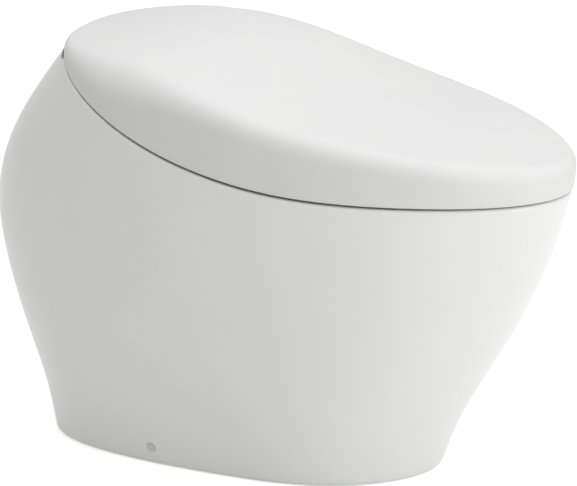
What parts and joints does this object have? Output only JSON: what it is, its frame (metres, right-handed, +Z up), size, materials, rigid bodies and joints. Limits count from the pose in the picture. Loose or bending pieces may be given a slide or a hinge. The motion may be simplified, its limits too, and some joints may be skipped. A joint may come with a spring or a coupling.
{
  "type": "smart toilet",
  "caption": "Floor-standing one-piece smart toilet: smooth egg-shaped ceramic body, domed lid, heated seat ring, washing unit with sliding wand, warm-air dryer and deodoriser.",
  "frame": {"origin": "centre of the footprint of the whole part's box, at floor level", "axes": "+Z up from the floor, +Y along the length from the nose to the back that faces the wall, +X across the width"},
  "size_m": [0.4352, 0.7884, 0.5561],
  "materials": {
    "glazed_ceramic": "gloss",
    "white_plastic": "satin",
    "seat_plastic": "satin",
    "grey_plastic": "matte",
    "dark_plastic": "matte",
    "rubber": "matte",
    "dark_rubber": "matte",
    "steel": "brushed",
    "brass": "satin",
    "heater_foil": "matte",
    "circuit_board": "satin",
    "lamp_lens": "gloss",
    "carbon_filter": "matte"
  },
  "bodies": {
    "base": {"ceramic_skirt": "glazed_ceramic", "ceramic_bowl": "glazed_ceramic", "side_screw_caps": "white_plastic", "side_screws": "steel", "floor_bracket_left": "grey_plastic", "floor_bracket_right": "grey_plastic", "drain_seal": "dark_rubber", "drain_flange": "grey_plastic", "hinge_bracket": "grey_plastic", "seat_actuator": "dark_plastic", "lid_actuator": "dark_plastic", "unit_chassis": "grey_plastic", "unit_cover": "white_plastic", "front_fascia": "white_plastic", "sensor_window": "dark_plastic", "night_lamp_lens": "lamp_lens", "button_panel": "grey_plastic", "switch_board": "circuit_board", "wand_guide": "grey_plastic", "wand_motor": "steel", "dryer_housing": "grey_plastic", "dryer_motor": "steel", "dryer_heater": "steel", "deodoriser_case": "grey_plastic", "deodoriser_filter": "carbon_filter", "control_board": "circuit_board", "board_posts": "grey_plastic", "power_module": "dark_plastic", "water_pump": "dark_plastic", "water_heater": "grey_plastic", "inlet_valve": "dark_plastic", "flush_valve_body": "grey_plastic", "flush_valve_motor": "dark_plastic", "rim_pipe": "grey_plastic", "water_inlet": "brass", "inlet_hose": "dark_rubber", "power_gland": "dark_plastic", "power_lead": "dark_rubber"},
    "seat": {"seat_top_shell": "seat_plastic", "seat_base": "seat_plastic", "seat_heater_foil": "heater_foil", "seat_bumpers": "rubber", "seat_hinge": "grey_plastic", "seat_shaft": "steel"},
    "lid": {"lid_shell": "white_plastic", "lid_liner": "white_plastic", "lid_bumpers": "rubber", "lid_hinge": "grey_plastic", "lid_shaft": "steel"},
    "wand": {"wand_tube": "steel", "wand_tip": "white_plastic", "wand_rack": "grey_plastic"},
    "pinion": {"wand_pinion": "grey_plastic"},
    "blower_wheel": {"dryer_fan": "dark_plastic"},
    "flap": {"dryer_flap": "white_plastic"},
    "deodoriser_wheel": {"deodoriser_fan": "dark_plastic"},
    "stop_key": {"stop_button": "white_plastic"},
    "wash_key": {"wash_button": "white_plastic"},
    "flush_key": {"flush_button": "white_plastic"},
    "flush_rotor": {"flush_valve_rotor": "dark_plastic"}
  },
  "joints": [
    {"name": "seat_hinge_joint", "type": "hinge", "parent": "base", "child": "seat", "pos_m": [0, 0.26, 0.533], "axis": [-1, 0, 0], "range_deg": [0, 90]},
    {"name": "lid_hinge_joint", "type": "hinge", "parent": "seat", "child": "lid", "pos_m": [0, 0.26, 0.533], "axis": [1, 0, 0], "range_deg": [-98, 0]},
    {"name": "wand_slide", "type": "slide", "parent": "base", "child": "wand", "axis": [0, -0.9135, -0.4067], "range_m": [0, 0.115]},
    {"name": "pinion_spin", "type": "hinge", "parent": "base", "child": "pinion", "pos_m": [0.01825, 0.08027, 0.42545], "axis": [0, -0.4067, 0.9135], "range_deg": [0, 756]},
    {"name": "blower_spin", "type": "hinge", "parent": "base", "child": "blower_wheel", "pos_m": [0.06, 0.15, 0.424], "axis": [1, 0, 0], "continuous": true},
    {"name": "flap_hinge", "type": "hinge", "parent": "base", "child": "flap", "pos_m": [0.06, 0.04525, 0.4124], "axis": [-1, 0, 0], "range_deg": [0, 40]},
    {"name": "deodoriser_spin", "type": "hinge", "parent": "base", "child": "deodoriser_wheel", "pos_m": [-0.064, 0.126, 0.405], "axis": [0, 0, 1], "continuous": true},
    {"name": "stop_press", "type": "slide", "parent": "base", "child": "stop_key", "axis": [0, 0.4226, -0.9063], "range_m": [0, 0.0012], "stiffness_N_per_m": 600},
    {"name": "wash_press", "type": "slide", "parent": "base", "child": "wash_key", "axis": [0, 0.4226, -0.9063], "range_m": [0, 0.0012], "stiffness_N_per_m": 600},
    {"name": "flush_press", "type": "slide", "parent": "base", "child": "flush_key", "axis": [0, 0.4226, -0.9063], "range_m": [0, 0.0012], "stiffness_N_per_m": 600},
    {"name": "flush_turn", "type": "hinge", "parent": "base", "child": "flush_rotor", "pos_m": [0, 0.196, 0.371], "axis": [0, 0, 1], "range_deg": [0, 90]}
  ],
  "couplings": [
    {"joint": "pinion_spin", "follows": "wand_slide", "rad_per_m": 114.29}
  ]
}
